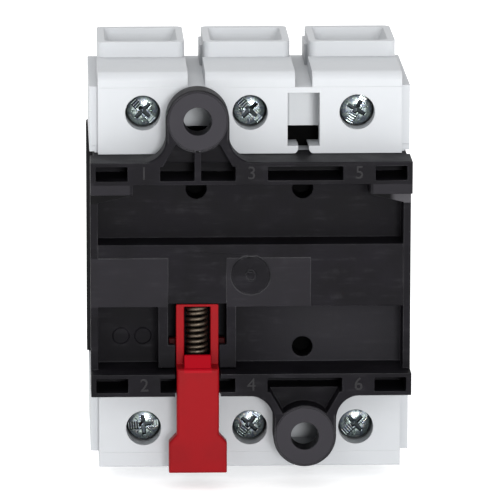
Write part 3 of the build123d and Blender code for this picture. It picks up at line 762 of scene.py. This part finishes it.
# %% [markdown]
# A clamp screw's head is a shallow dome with a slot and a cross in it. On a disc of radius r and
# angle a, a point's depth is the dome's own depth, or the recess's floor where the point lies
# inside an arm: its distance along the slot and beside it decide that. The slot's floor is
# ribbed, so that a driver doesn't slip out, with a wave of straight slopes up and down, and the
# cross's arm on that side stops where the ribs start. Four short ticks are sunk between the arms.

# %% Shape a clamp screw's head
head_radius = 0.0030
head_height = 0.0022
head_rear = 0.0067
dome_fall = 0.00055
rim_fall = 0.00035
rim_start = 0.88
back_chamfer = 0.00015
slot_half = 0.00078
slot_depth = 0.00078
rib_start = 0.0009
rib_pitch = 0.00047
rib_slope = 0.46
far_rib_share = 0.4
arm_half = 0.00048
arm_reach = 0.0019
arm_depth = 0.00125
arm_fall = 0.0005
arm_taper = 0.25
tick_half = 0.00012
tick_start = 0.0009
tick_end = 0.0021
tick_depth = 0.00025
wall_width = 0.00007


def dome_depth(out):
    """A fall with r squared, and a smooth step more at the rim."""
    share = out / head_radius
    return dome_fall * share**2 + rim_fall * smooth_step((share - rim_start) / (1 - rim_start))


def slot_floor(along):
    """The slot's depth with its ribs, which are flatter at the slot's far end."""
    wave = 0.5 - abs(along / rib_pitch % 1 - 0.5)
    share = np.where(along > 0, 1.0, far_rib_share) * (abs(along) > rib_start)
    return slot_depth + wave * rib_slope * rib_pitch * share


def recessed(out, along, beside):
    """The dome, lowered to the slot's floor, to a cross that deepens inwards and to ticks."""
    dome = dome_depth(out)
    in_slot = smooth_step((slot_half - abs(beside)) / wall_width)
    depth = dome + in_slot * np.maximum(slot_floor(along) - dome, 0)

    far = np.maximum(abs(along), abs(beside))
    near = np.minimum(abs(along), abs(beside))
    reach = np.where(along > abs(beside), rib_start, arm_reach)
    arm_side = arm_half * (1 - arm_taper * far / arm_reach)
    in_cross = smooth_step((arm_side - near) / wall_width) * smooth_step((reach - far) / wall_width)
    depth = np.maximum(depth, in_cross * (arm_depth + arm_fall * (1 - far / arm_reach)))

    in_tick = (far - near < tick_half) * smooth_step((tick_end - out) / wall_width)
    in_tick = in_tick * smooth_step((out - tick_start) / wall_width)
    return np.maximum(depth, in_tick * (dome + tick_depth))


def screw_head(direction):
    """Rings from the middle of the face to its rim, down the side and in to the back's middle."""
    out = np.linspace(0, head_radius, 60)[:, None]
    angle = round_angles(240)
    depth = recessed(out, out * np.cos(angle - direction), out * np.sin(angle - direction))
    rings = [
        (out, depth),
        (head_radius, head_height - back_chamfer),
        (head_radius - back_chamfer, head_height),
        (0.0, head_height),
    ]
    return np.concatenate([
        np.stack(np.broadcast_arrays(ring * np.cos(angle), deep, ring * np.sin(angle)), axis=-1)
        for ring, deep in rings
    ])


print("depth of the slot and of the cross in mm:", 1000 * slot_depth, 1000 * (arm_depth + arm_fall))

# %% [markdown]
# The shank is a screw thread: its radius saws up and down with the angle plus the height, so the
# groove climbs by one pitch in each turn. The six slots are turned as in the photo, by degrees
# from +X.

# %% Turn the clamp screws
shank_radius = 0.0020
thread_depth = 0.00025
thread_pitch = 0.0007
pitch_steps = 5
screw_tip = 0.02515
taper_length = 0.0006
taper_share = 0.25
slot_turns = (135, 135, 240, 185, 230, 222)


def screw_shank():
    """A cylinder whose radius drops to the thread's root and back once in every pitch."""
    length = screw_tip - head_rear - head_height
    down = np.linspace(0, length, int(length / thread_pitch * pitch_steps))[:, None]
    angle = round_angles(32)
    phase = (down / thread_pitch - angle / (2 * np.pi)) % 1
    groove = np.clip(1.25 - 2.5 * abs(phase - 0.5), 0, 1)
    taper = 1 - smooth_step((down - length + taper_length) / taper_length) * taper_share
    radius = (shank_radius - thread_depth * groove) * taper
    radius = np.concatenate([0 * radius[:1], radius, 0 * radius[:1]])
    down = np.concatenate([down[:1], down, down[-1:]]) + head_height
    points = np.broadcast_arrays(radius * np.cos(angle), down, radius * np.sin(angle))
    return np.stack(points, axis=-1)


shank = screw_shank()
screws = []
for number, degrees in enumerate(slot_turns, start=1):
    screw_box = np.array(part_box(f"terminal_screw_{number}"))
    axis_x, axis_z = screw_box.mean(axis=0)[[0, 2]]
    foot = np.array([axis_x, head_rear, axis_z])
    grids = [screw_head(math.radians(degrees)) + foot, shank + foot]
    screws.append(piece_from(f"clamp_screw_{number}", grids, f"terminal_screw_{number}", angle=50))
print("faces of a screw:", len(screws[0].data.polygons))

# %% [markdown]
# Plain terminal numbers stand on the webs between the pockets: 1, 3 and 5 above, 2, 4 and 6
# below. Text is a curve in Blender, so each number is made a mesh first and then laid on the
# web's face, barely proud of it, as letters on a moulding are.

# %% Raise the terminal numbers
number_height = 0.0024
digit_share = 0.69
number_rise = 0.00004
web_face = -0.0045
web_level = 0.02035
pole_pitch = 0.02025
rows = {1: "135", -1: "246"}

numbers = bmesh.new()
for level, labels in rows.items():
    for column, label in zip((-1, 0, 1), labels):
        text = bpy.data.curves.new("number_" + label, "FONT")
        text.body = label
        text.size = number_height / digit_share
        text.align_x = "CENTER"
        text.align_y = "CENTER"
        text.extrude = number_rise
        text.resolution_u = 4
        curve = bpy.data.objects.new("number_" + label, text)
        letter = bpy.data.meshes.new_from_object(curve)
        bpy.data.objects.remove(curve)
        place = (column * pole_pitch, web_face, level * web_level)
        letter.transform(Matrix.Translation(place) @ Matrix.Rotation(math.pi / 2, 4, "X"))
        numbers.from_mesh(letter)
number_mesh = bpy.data.meshes.new("terminal_numbers")
numbers.to_mesh(number_mesh)
numbers.free()
number_plastic = moulded(
    "number_plastic", (0.016, 0.0155, 0.017), (0.05, 0.05, 0.052),
    rough=0.4, Specular_IOR_Level=0.12,
)
add_piece("terminal_numbers", number_mesh, number_plastic, "rear_base", stands_in=False)
print("number faces:", len(number_mesh.polygons))

# %% [markdown]
# The room is a product photographer's: a pale floor without a seam and a white surround that
# lights every side evenly. Plain display colours keep white white.

# %% Floor and surround
floor_reach = 60
surround_strength = 0.79

scene = bpy.context.scene
scene.view_settings.view_transform = "Standard"
floor_finish = Finish(
    "pale_floor", Roughness=0.9, Emission_Color=(1.0, 1.0, 1.0, 1.0), Emission_Strength=0.45
)
speck = floor_finish.noise(60, 2.0)
floor_finish.show(Base_Color=floor_finish.blend(speck, (0.90, 0.90, 0.90), (0.92, 0.92, 0.92)))
floor_level = float(cad_box[0][2])
sides = [(-1, -1), (1, -1), (1, 1), (-1, 1)]
corners = [(floor_reach * x, floor_reach * y, floor_level) for x, y in sides]
floor_mesh = bpy.data.meshes.new("floor")
floor_mesh.from_pydata(corners, [], [(0, 1, 2, 3)])
floor_mesh.materials.append(floor_finish.material)
floor = bpy.data.objects.new("floor", floor_mesh)
scene.collection.objects.link(floor)
floor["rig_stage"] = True

world = bpy.data.worlds.new("surround")
world.use_nodes = True
background = world.node_tree.nodes["Background"]
background.inputs["Color"].default_value = (1.0, 1.0, 1.0, 1.0)
background.inputs["Strength"].default_value = surround_strength
scene.world = world
print("floor level in mm:", round(floor_level * 1000, 2))

# %% [markdown]
# One soft light stands close to the camera. Its cone is narrow and aimed above the object, so
# that it fades towards the foot. Three weak ones stand higher up, in the middle and far out on
# either side, and the last light shines from behind on the tops and the far side.

# %% Lights
def light(kind, name, place, aim, power, **settings):
    """A light at a place that looks at its aim, with its own settings."""
    data = bpy.data.lights.new(name, kind)
    data.energy = power
    for key, value in settings.items():
        setattr(data, key, value)
    lamp = bpy.data.objects.new(name, data)
    scene.collection.objects.link(lamp)
    away = Vector(place) - Vector(aim)
    turn = away.to_track_quat("Z", "Y").to_matrix().to_4x4()
    lamp.matrix_world = Matrix.Translation(place) @ turn


middle = (0.0, 0.0, 0.0)
light(
    "SPOT", "front", (0.12, -1.04, 0.18), (0.0, 0.0, 0.063), 62.0,
    shadow_soft_size=0.15, spot_size=math.radians(15.5), spot_blend=1.0,
)
light("AREA", "key", (0.0, -0.55, 0.65), middle, 0.6, size=0.35)
for side in (-1, 1):
    light("AREA", f"side_{side}", (0.6 * side, -0.9, 0.5), (0.0, 0.0, 0.06), 1.5, size=0.4)
light("SUN", "behind", (-0.2, 0.5, 0.9), middle, 0.9, angle=math.radians(50))
print("lights:", len(bpy.data.lights))

# %% Measure and finish
dressed_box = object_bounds()
print("dressed box in mm:", np.round(np.subtract(dressed_box[1], dressed_box[0]) * 1000, 2))
boxes = {"cad": cad_box, "dressed": dressed_box}
boxes = {name: [list(map(float, corner)) for corner in box] for name, box in boxes.items()}
